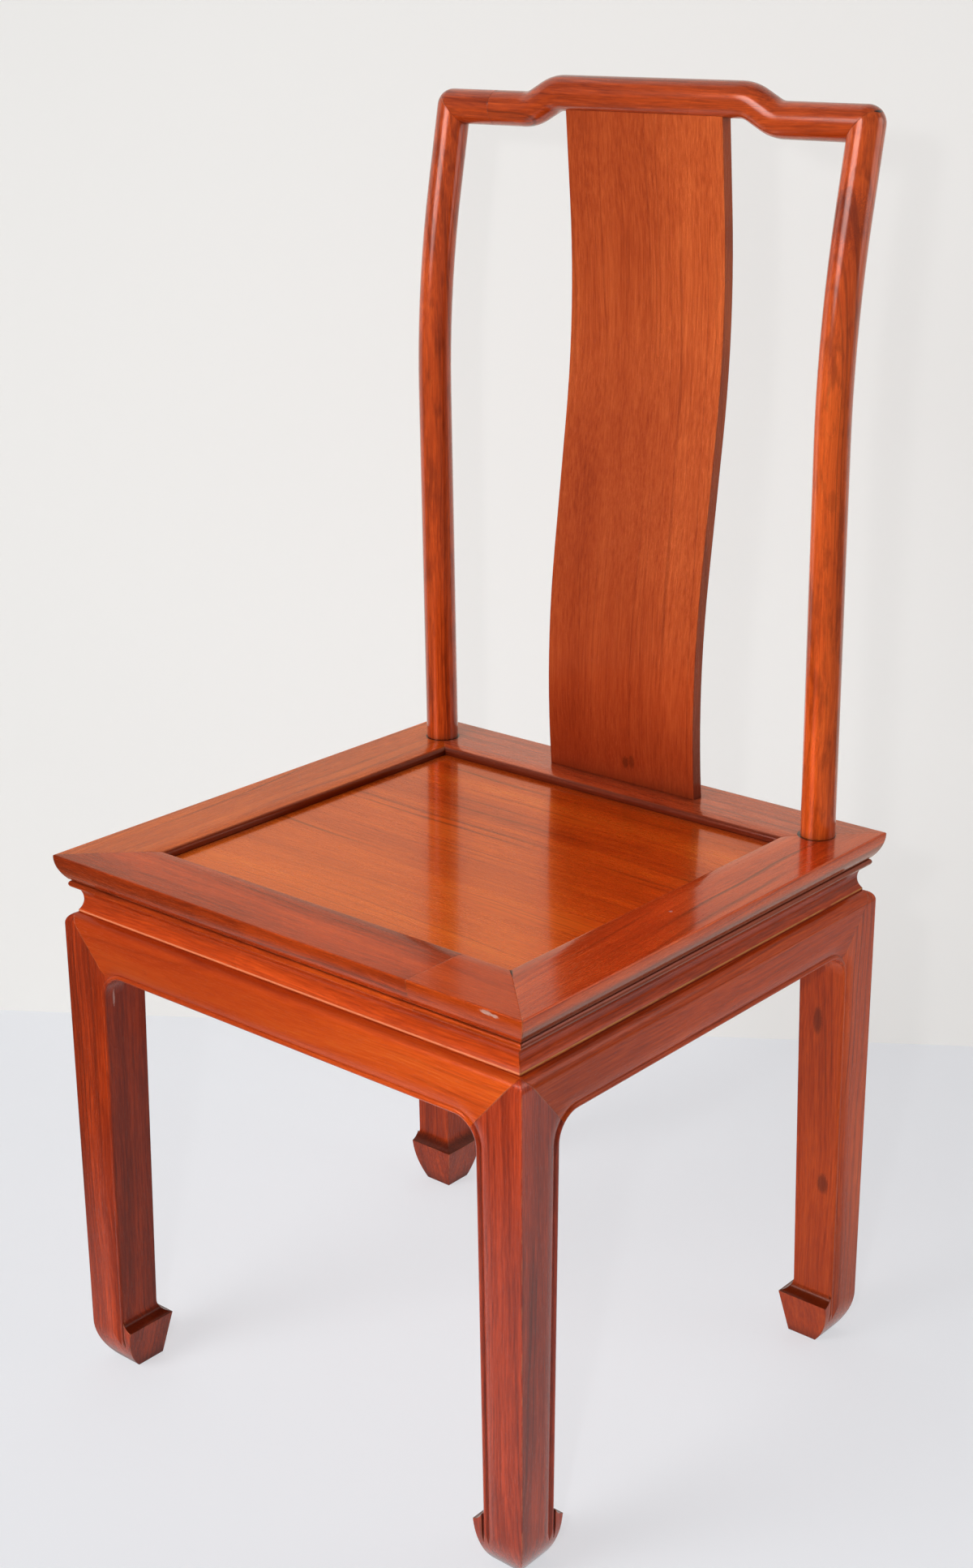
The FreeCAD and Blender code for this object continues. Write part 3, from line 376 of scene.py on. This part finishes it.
def wood(node, grain, tone=0.0, tint=(1.0, 1.0, 1.0), figure=1.0, pith=PITH, seed=0.0,
         shine=FIBRE_SHINE, lacquer=PLAIN_LACQUER, marks=()):
    """Gives one board its own lacquered hardwood: grain axis, tone, tint, figure, shine, marks of use and
    painted light and shade.
    """
    low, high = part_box(node)
    middle = (low + high) / 2
    material = bpy.data.materials.new("wood_" + node)
    material.use_nodes = True
    graph = Graph(material.node_tree)
    shader = material.node_tree.nodes["Principled BSDF"]

    # The grain runs along the board, and the seed cuts each board from another place in it
    place = graph.node("ShaderNodeTexCoord").outputs["Object"]
    parts = graph.separate(graph.vector("SUBTRACT", place, tuple(middle)))
    figured = graph.node("ShaderNodeGroup", node_tree=GRAIN)
    graph.feed(figured.inputs["Place"], graph.combine(*(parts[axis] for axis in AXES[grain])))
    figured.inputs["Pith"].default_value = pith
    figured.inputs["Shift"].default_value = tuple(step * seed for step in SEED_STEP)
    figured.inputs["Tone"].default_value = tone
    figured.inputs["Figure"].default_value = figure
    figured.inputs["Tint"].default_value = (*tint, 1.0)

    # Rounded edges catch the light; wear, marks and painted light and shade lie over the grain
    soft = graph.node("ShaderNodeBevel", samples=4)
    soft.inputs["Radius"].default_value = EDGE_ROUND
    soft_normal = soft.outputs["Normal"]
    figured_colour, figured_gloss = figured.outputs["Color"], figured.outputs["Roughness"]
    colour, gloss = add_wear_and_shade(graph, place, soft_normal, figured_colour, figured_gloss)
    for mark in marks:
        amount, stain = mark(graph, place)
        colour = graph.mix(amount, colour, (*stain, 1.0))

    graph.feed(shader.inputs["Base Color"], colour)
    graph.feed(shader.inputs["Roughness"], gloss)
    shader.inputs["Metallic"].default_value = shine
    shader.inputs["Specular Tint"].default_value = FIBRE_TINT
    shader.inputs["IOR"].default_value = WOOD_IOR
    add_lacquer(graph, shader, lacquer, soft_normal, figured.outputs["Height"])

    piece = nodes[node]
    piece.data.materials.clear()
    piece.data.materials.append(material)


# Marks of use and painted light and shade: each function below makes one, which tells its amount at a place
# in metres and its colour


def spot(middle, size, stain, strength=1.0, ragged=0.6):
    """A ragged patch: its middle and its half sizes along x, y and z, in metres."""
    def mark(graph, place):
        off = graph.vector("DIVIDE", graph.vector("SUBTRACT", place, middle), size)
        torn = graph.swing(graph.noise(place, TORN_WAVES, detail=2), ragged)
        reach = graph.math("ADD", graph.vector("LENGTH", off, result="Value"), torn)
        return graph.spread(reach, *SPOT_RIM, 0.0, strength), stain
    return mark


def stripe(low, high, stain, strength, broken):
    """A thin level line of painted highlight between two heights, broken in places."""
    def mark(graph, place):
        height = graph.separate(place)[2]
        soft = (high - low) / 2
        above = graph.spread(height, low - soft, low)
        below = graph.spread(height, high + soft, high)
        line = graph.math("MULTIPLY", above, below)
        rubbed_and_lit = graph.noise(place, STRIPE_WAVES, detail=3)
        kept = graph.spread(rubbed_and_lit, broken - STRIPE_FADE, broken + STRIPE_FADE, 0.0, strength)
        return graph.math("MULTIPLY", line, kept), stain
    return mark


def open_mitre(corner, length, gap):
    """A dark wedge that opens along a mitre from the inner corner of the front and right rails."""
    def mark(graph, place):
        x, y, _ = graph.separate(graph.vector("SUBTRACT", place, corner))
        along = graph.math("DIVIDE", graph.math("SUBTRACT", x, y), length * math.sqrt(2))
        aside = graph.math("ABSOLUTE", graph.math("DIVIDE", graph.math("ADD", x, y), math.sqrt(2)))
        room = graph.spread(along, MITRE_FULL, 1.0, gap, 0.0)
        return graph.math("LESS_THAN", aside, room), GAP
    return mark


def dark_ring(middle, radius):
    """The open joint round the foot of a back post."""
    def mark(graph, place):
        flat = graph.vector("MULTIPLY", place, LEVEL)
        reach = graph.vector("DISTANCE", flat, (*middle, 0.0), result="Value")
        return graph.spread(reach, radius + RING_SOFT, radius), SEAM
    return mark


def inner_edge(wide, stain, strength):
    """The frame's edge round the sunk panel, darkened with painted shade on some rails and paled with a
    painted highlight on others.
    """
    def mark(graph, place):
        x, y, _ = graph.separate(graph.vector("ABSOLUTE", place))
        past_x = graph.math("SUBTRACT", x, OPENING_HALF_WIDE)
        past_y = graph.math("SUBTRACT", y, OPENING_HALF_DEEP)
        reach = graph.math("MAXIMUM", past_x, past_y)
        return graph.spread(reach, wide, wide / 4, 0.0, strength), stain
    return mark


def dark_face(way, top, stain, strength):
    """Painted shade on what faces one way, below one height."""
    def mark(graph, place):
        normal = graph.node("ShaderNodeNewGeometry").outputs["Normal"]
        turned = graph.vector("DOT_PRODUCT", normal, way, result="Value")
        below = graph.math("LESS_THAN", graph.separate(place)[2], top)
        return graph.math("MULTIPLY", below, graph.spread(turned, *FACING_STEP, 0.0, strength)), stain
    return mark


def fade(axis, start, full, stain, strength):
    """A darker or paler part of a board, painted as shade or light: it grows between two places along the x,
    y or z axis.
    """
    def mark(graph, place):
        along = graph.separate(place)["xyz".index(axis)]
        return graph.spread(along, start, full, 0.0, strength), stain
    return mark


def mottle(stain, strength):
    """Dark clouds, a few centimetres long, along an upright piece."""
    def mark(graph, place):
        clouds = graph.noise(place, MOTTLE_WAVES, detail=4, rough=0.6)
        return graph.spread(clouds, *MOTTLE_STEP, 0.0, strength), stain
    return mark


def finish_legs():
    # Painted shade: the upward-facing hoof ledges are darkened
    ledge_shade = dark_face(UP, top=0.06, stain=(0.06, 0.008, 0.003), strength=0.8)
    # Painted shade: the right-facing inner face of the front left leg is darkened
    inner_face_shade = dark_face(RIGHT, top=0.4, stain=(0.07, 0.008, 0.004), strength=0.35)
    # Painted shade: the back right leg grows darker towards the floor
    foot = fade("z", start=0.20, full=0.02, stain=(0.12, 0.012, 0.005), strength=0.32)
    drip = spot((-0.190, -0.2125, 0.337), (0.004, 0.0012, 0.008), (0.60, 0.36, 0.30), strength=0.7)
    high_knot = spot((0.2086, 0.181, 0.295), (0.005, 0.006, 0.014), KNOT, strength=0.6)
    low_knot = spot((0.2188, 0.183, 0.1486), (0.006, 0.006, 0.010), KNOT, strength=0.6)
    wood("leg_front_left", "z", tone=-0.18, tint=(1.0, 0.82, 1.0), seed=1.0,
         marks=[ledge_shade, inner_face_shade, drip])
    wood("leg_front_right", "z", tone=-0.12, tint=(1.0, 0.85, 1.8), seed=2.0,
         lacquer=FULL_LACQUER, marks=[ledge_shade])
    wood("leg_back_right", "z", tone=0.03, tint=(1.0, 0.9, 0.9), seed=3.0,
         marks=[foot, ledge_shade, high_knot, low_knot])
    wood("leg_back_left", "z", tone=-0.17, tint=(1.0, 0.85, 0.5), seed=4.0, marks=[ledge_shade])


def finish_seat_panel():
    # Painted light: the front of the panel is paler and more orange
    painted_front_light = fade("y", start=0.02, full=-0.15, stain=(0.95, 0.20, 0.02), strength=0.35)
    wood("seat_panel", "x", tone=0.11, tint=(1.0, 1.1, 0.5), seed=5.0, pith=(0.02, 0.2, -0.15),
         shine=PANEL_SHINE, lacquer=PANEL_LACQUER, marks=[painted_front_light])


def finish_seat_frame():
    gap = open_mitre((OPENING_HALF_WIDE, -OPENING_HALF_DEEP, 0.0), length=0.022, gap=0.0009)
    # Painted shade along the frame's edge round the sunk panel, on the back and left rails
    recess_shade = inner_edge(wide=0.0044, stain=(0.10, 0.009, 0.003), strength=0.85)
    # Painted highlight along the same edge, on the front and right rails
    rubbed_and_lit = inner_edge(wide=0.0040, stain=(0.95, 0.36, 0.17), strength=0.75)
    # Painted highlight: a thin pale line along the bead of the front moulding
    bead_highlight = stripe(low=0.4292, high=0.4299, stain=(0.75, 0.24, 0.14), strength=0.7, broken=0.42)
    # Painted shade: the right rail's moulding is darker over its lower part
    lower_moulding_shade = fade("z", start=0.4425, full=0.4385, stain=(0.11, 0.012, 0.004), strength=0.7)
    dot = spot((0.2005, -0.0139, 0.450), (0.0016, 0.0016, 0.002), (0.80, 0.66, 0.72),
               strength=0.7, ragged=0.2)
    chips = [spot((0.2050, -0.2258, 0.4472), (0.0060, 0.004, 0.0018), CHIP, strength=0.9, ragged=1.2),
             spot((0.2120, -0.2257, 0.4464), (0.0036, 0.004, 0.0014), CHIP, strength=0.9, ragged=1.2)]
    post_side, post_back = 0.1962, 0.1865
    rings = [dark_ring((post_side, post_back), radius=0.0149),
             dark_ring((-post_side, post_back), radius=0.0147)]
    wood("seat_rail_front", "x", tone=-0.07, tint=(1.0, 0.88, 0.5), seed=6.0,
         shine=SEAT_SHINE, marks=[rubbed_and_lit, bead_highlight])
    wood("seat_rail_front_end", "x", tone=0.01, tint=(1.0, 0.9, 0.5), figure=0.4, seed=7.0,
         shine=SEAT_SHINE, marks=[rubbed_and_lit, bead_highlight, gap] + chips)
    wood("seat_rail_back", "x", tone=-0.03, tint=(1.0, 1.3, 3.0), seed=8.0,
         shine=SEAT_SHINE, lacquer=FULL_LACQUER, marks=[recess_shade] + rings)
    wood("seat_rail_left", "y", tone=0.03, tint=(1.0, 1.3, 0.9), seed=9.0,
         shine=SEAT_SHINE, marks=[recess_shade] + rings)
    wood("seat_rail_right", "y", tone=0.03, tint=(1.0, 0.95, 1.0), figure=1.4, seed=10.0,
         shine=MIRROR_SHINE, lacquer=FULL_LACQUER, marks=[rubbed_and_lit, lower_moulding_shade, gap, dot] + rings)


def finish_battens():
    for batten, seed in (("seat_batten_left", 11.0), ("seat_batten_right", 12.0)):
        wood(batten, "y", tone=-0.05, seed=seed)


def finish_waists():
    lip_low, lip_high = 0.4027, 0.4036
    # Painted highlights: a thin line along the lip of each waist, pale on the front and left, gold on the
    # back and right
    pale_lip_highlight = stripe(lip_low, lip_high, stain=(0.85, 0.27, 0.12), strength=0.9, broken=0.25)
    gold_lip_highlight = stripe(lip_low, lip_high, stain=(0.70, 0.28, 0.06), strength=0.8, broken=0.42)
    for side, grain, seed, tone, lip in (
            ("front", "x", 13.0, -0.08, pale_lip_highlight),
            ("back", "x", 14.0, -0.06, gold_lip_highlight),
            ("left", "y", 15.0, -0.06, pale_lip_highlight),
            ("right", "y", 16.0, -0.11, gold_lip_highlight)):
        wood("waist_" + side, grain, tone=tone, tint=(1.0, 0.85, 0.75), figure=0.5, seed=seed, marks=[lip])


def finish_aprons():
    # Painted shadow under the waist's lip; painted shade darkening the front and back aprons towards the
    # left and the side aprons towards the front
    under_lip_shadow = fade("z", start=0.3970, full=0.4000, stain=(0.15, 0.010, 0.003), strength=0.4)
    left_shade = fade("x", start=0.30, full=-0.14, stain=(0.33, 0.022, 0.002), strength=0.66)
    front_shade = fade("y", start=0.0, full=-0.22, stain=(0.12, 0.012, 0.006), strength=0.3)
    for side, grain, seed, tone, painted_shades in (
            ("front", "x", 13.5, 0.16, [left_shade, under_lip_shadow]),
            ("back", "x", 14.5, 0.05, [left_shade, under_lip_shadow]),
            ("left", "y", 15.5, 0.0, [front_shade, under_lip_shadow]),
            ("right", "y", 16.5, -0.03, [front_shade])):
        wood("apron_" + side, grain, tone=tone, tint=(1.0, 0.88, 0.7), figure=0.6, seed=seed, marks=painted_shades)


def finish_posts():
    clouds = mottle((0.15, 0.012, 0.002), strength=0.5)
    stain = spot((0.198, 0.184, 0.925), (0.022, 0.022, 0.020), (0.16, 0.02, 0.01), strength=0.4, ragged=2.0)
    eye = spot((0.206, 0.173, 0.720), (0.004, 0.006, 0.010), KNOT, strength=0.25, ragged=1.0)
    crack = spot((0.208, 0.2103, 0.998), (0.006, 0.006, 0.0012), SEAM)
    wood("back_post_left", "z", tone=-0.02, figure=0.7, seed=17.0, pith=(0.02, 0.03, 0.02),
         lacquer=ROUND_LACQUER, marks=[clouds])
    wood("back_post_right", "z", tone=0.11, figure=0.7, seed=18.0, pith=(0.05, 0.012, 0.02),
         lacquer=ROUND_LACQUER, marks=[clouds, stain, eye, crack])


def finish_top_rail():
    for node, tone, seed in (("top_rail", -0.09, 19.0), ("top_rail_end", -0.17, 20.0)):
        wood(node, "x", tone=tone, tint=(1.0, 1.0, 0.9), seed=seed, pith=(0.03, 0.03, 0.05),
             lacquer=ROUND_LACQUER)


def finish_splat():
    # Painted shade: the splat darker towards its foot and towards its left
    painted_shades = [fade("z", start=0.57, full=0.45, stain=(0.10, 0.004, 0.0), strength=0.6),
              fade("z", start=0.84, full=0.66, stain=(0.25, 0.03, 0.01), strength=0.22),
              fade("x", start=0.055, full=-0.005, stain=(0.25, 0.02, 0.004), strength=0.26)]
    # Painted shade: the splat's side that faces right is darkened
    edge = dark_face(RIGHT, top=1.0, stain=(0.10, 0.012, 0.006), strength=0.45)
    knot = [spot((0.0055, 0.1887, 0.468), (0.0035, 0.008, 0.006), KNOT, strength=0.7, ragged=1.2),
            spot((0.0120, 0.1887, 0.470), (0.0030, 0.008, 0.007), KNOT, strength=0.6, ragged=1.2)]
    wood("splat", "z", tone=0.05, tint=(1.0, 1.35, 2.8), figure=0.5, seed=21.0, pith=(0.02, 0.25, 0.02),
         shine=SPLAT_SHINE, marks=painted_shades + [edge] + knot)


def white_surface(name, colour, mirror):
    """Matt paint, faintly uneven. It shows nearly white and keeps the chair's shadow; its back is clear.

    mirror tells how far reflections of it are dimmed near the chair and far from it, and to which colour.
    """
    material = bpy.data.materials.new(name)
    material.use_nodes = True
    graph = Graph(material.node_tree)
    output = material.node_tree.nodes["Material Output"]
    paint = material.node_tree.nodes["Principled BSDF"]
    place = graph.node("ShaderNodeTexCoord").outputs["Object"]
    uneven = graph.noise(place, PAINT_WAVES, detail=3)
    darker = tuple(PAINT_UNEVEN * level for level in colour)
    tint = graph.mix(uneven, (*colour, 1.0), (*darker, 1.0))
    graph.feed(paint.inputs["Base Color"], tint)
    paint.inputs["Roughness"].default_value = PAINT_ROUGH

    # The camera, reflections and glass see part of its white as glow
    rays = graph.node("ShaderNodeLightPath").outputs
    surface = graph.node("ShaderNodeNewGeometry").outputs
    flat = graph.vector("MULTIPLY", surface["Position"], LEVEL)
    reach = graph.vector("DISTANCE", flat, GLOW_MIDDLE, result="Value")
    glow = graph.node("ShaderNodeEmission")
    graph.feed(glow.inputs["Color"], tint)
    seen = graph.math("MAXIMUM", rays["Is Camera Ray"], rays["Is Glossy Ray"])
    seen = graph.math("MAXIMUM", seen, rays["Is Transmission Ray"])
    near = graph.spread(reach, GLOW_INNER, GLOW_OUTER, ROOM_GLOW, FAR_GLOW)
    lit = graph.blend(graph.math("MULTIPLY", seen, near), paint, glow)

    # Reflections of it are dimmed, and from behind it is clear
    dim_near, dim_far, dim_colour = mirror
    dim = graph.node("ShaderNodeEmission")
    dim.inputs["Color"].default_value = (*dim_colour, 1.0)
    away = graph.spread(reach, MIRROR_INNER, MIRROR_OUTER, dim_near, dim_far)
    lit = graph.blend(graph.math("MULTIPLY", rays["Is Glossy Ray"], away), lit, dim)
    clear = graph.node("ShaderNodeBsdfTransparent")
    either = graph.blend(surface["Backfacing"], lit, clear)
    graph.feed(output.inputs["Surface"], either.outputs[0])
    return material


def sheet(name, wide, high, material):
    """A flat rectangle in its own xy plane, its foot on the x axis."""
    mesh = bpy.data.meshes.new(name)
    corners = [(-wide / 2, 0, 0), (wide / 2, 0, 0), (wide / 2, high, 0), (-wide / 2, high, 0)]
    mesh.from_pydata(corners, [], [(0, 1, 2, 3)])
    mesh.materials.append(material)
    made = bpy.data.objects.new(name, mesh)
    bpy.context.scene.collection.objects.link(made)
    return made


def direction(turn, lift):
    """A unit vector from the chair outwards: turn from its front to its right, lift above the floor."""
    turned, lifted = math.radians(turn), math.radians(lift)
    level = math.cos(lifted)
    return Vector((math.sin(turned) * level, -math.cos(turned) * level, math.sin(lifted)))


def make_room():
    floor_paint = white_surface("floor_paint", FLOOR_COLOUR, FLOOR_MIRROR)
    floor = sheet("floor", FLOOR_SIZE, FLOOR_SIZE, floor_paint)
    floor.location = (0, -FLOOR_SIZE / 2, 0)
    wall_paint = white_surface("wall_paint", WALL_COLOUR, WALL_MIRROR)
    wall = sheet("wall", WALL_WIDE, WALL_HIGH, wall_paint)
    facing = direction(WALL_TURN, 0)
    sideways = Vector((-facing.y, facing.x, 0))
    wall.matrix_world = Matrix((sideways, Vector(UP), facing)).transposed().to_4x4()
    wall.location = -WALL_BEHIND * facing


def make_lamp(name, place, size, spread, watts, mirrored=True):
    """A round soft lamp that faces the middle of the chair; mirrored tells whether the lacquer shows it."""
    lamp = bpy.data.lights.new(name, "AREA")
    lamp.shape = "DISK"
    lamp.size = size
    lamp.spread = math.radians(spread)
    lamp.energy = watts
    made = bpy.data.objects.new(name, lamp)
    bpy.context.scene.collection.objects.link(made)
    made.location = place
    made.rotation_mode = "QUATERNION"
    made.rotation_quaternion = (CAMERA_AIM - place).to_track_quat("-Z", "Y")
    made.visible_glossy = mirrored


def make_lamps():
    shown_place = CAMERA_AIM + KEY_DISTANCE * direction(KEY_TURN + KEYS_APART / 2, KEY_LIFT)
    unseen_place = CAMERA_AIM + KEY_DISTANCE * direction(KEY_TURN - KEYS_APART / 2, KEY_LIFT)
    side_place = CAMERA_AIM + SIDE_DISTANCE * direction(SIDE_TURN, SIDE_LIFT)
    beside_camera = FLASH_UP * Vector(UP) - FLASH_LEFT * direction(CAMERA_TURN + 90, 0)
    flash_place = CAMERA_AIM + CAMERA_DISTANCE * direction(CAMERA_TURN, CAMERA_LIFT) + beside_camera
    shown_watts = MIRRORED_KEY * KEY_WATTS
    make_lamp("key_shown", shown_place, KEY_SIZE, KEY_SPREAD, shown_watts)
    make_lamp("key_unseen", unseen_place, KEY_SIZE, KEY_SPREAD, KEY_WATTS - shown_watts, mirrored=False)
    make_lamp("side_lamp", side_place, SIDE_SIZE, SIDE_SPREAD, SIDE_WATTS)
    make_lamp("flash", flash_place, FLASH_SIZE, FLASH_SPREAD, FLASH_WATTS, mirrored=False)


def make_fill():
    """Light from all round; what the camera and the lacquer see of it has its own strength."""
    world = bpy.data.worlds.new("room")
    bpy.context.scene.world = world
    world.use_nodes = True
    graph = Graph(world.node_tree)
    background = world.node_tree.nodes["Background"]
    background.inputs["Color"].default_value = FILL_COLOUR
    rays = graph.node("ShaderNodeLightPath").outputs
    upward = graph.separate(graph.node("ShaderNodeTexCoord").outputs["Generated"])[2]
    strength = graph.spread(upward, 0.0, 1.0, FILL_LEVEL, FILL_ABOVE)
    shown = graph.math("MAXIMUM", rays["Is Camera Ray"], rays["Is Transmission Ray"])
    for seen, level in ((shown, SHOWN_FILL), (rays["Is Glossy Ray"], MIRRORED_FILL)):
        others = graph.math("MULTIPLY", graph.math("SUBTRACT", 1.0, seen), strength)
        strength = graph.math("ADD", graph.math("MULTIPLY", seen, level), others)
    graph.feed(background.inputs["Strength"], strength)


def make_camera():
    data = bpy.data.cameras.new("camera")
    data.sensor_width = SENSOR
    data.lens = SENSOR * FOCAL_PIXELS / max(IMAGE_WIDE, IMAGE_HIGH)
    camera = bpy.data.objects.new("camera", data)
    bpy.context.scene.collection.objects.link(camera)
    back = direction(CAMERA_TURN, CAMERA_LIFT)
    level = direction(CAMERA_TURN + 90, 0)
    roll = math.radians(CAMERA_ROLL)
    right = math.cos(roll) * level + math.sin(roll) * back.cross(level)
    camera.matrix_world = Matrix((right, back.cross(right), back)).transposed().to_4x4()
    camera.location = CAMERA_AIM + CAMERA_DISTANCE * back
    bpy.context.scene.camera = camera


finish_legs()
finish_seat_panel()
finish_seat_frame()
finish_battens()
finish_waists()
finish_aprons()
finish_posts()
finish_top_rail()
finish_splat()
make_room()
make_lamps()
make_fill()
make_camera()
bpy.context.scene.view_settings.view_transform = "Standard"
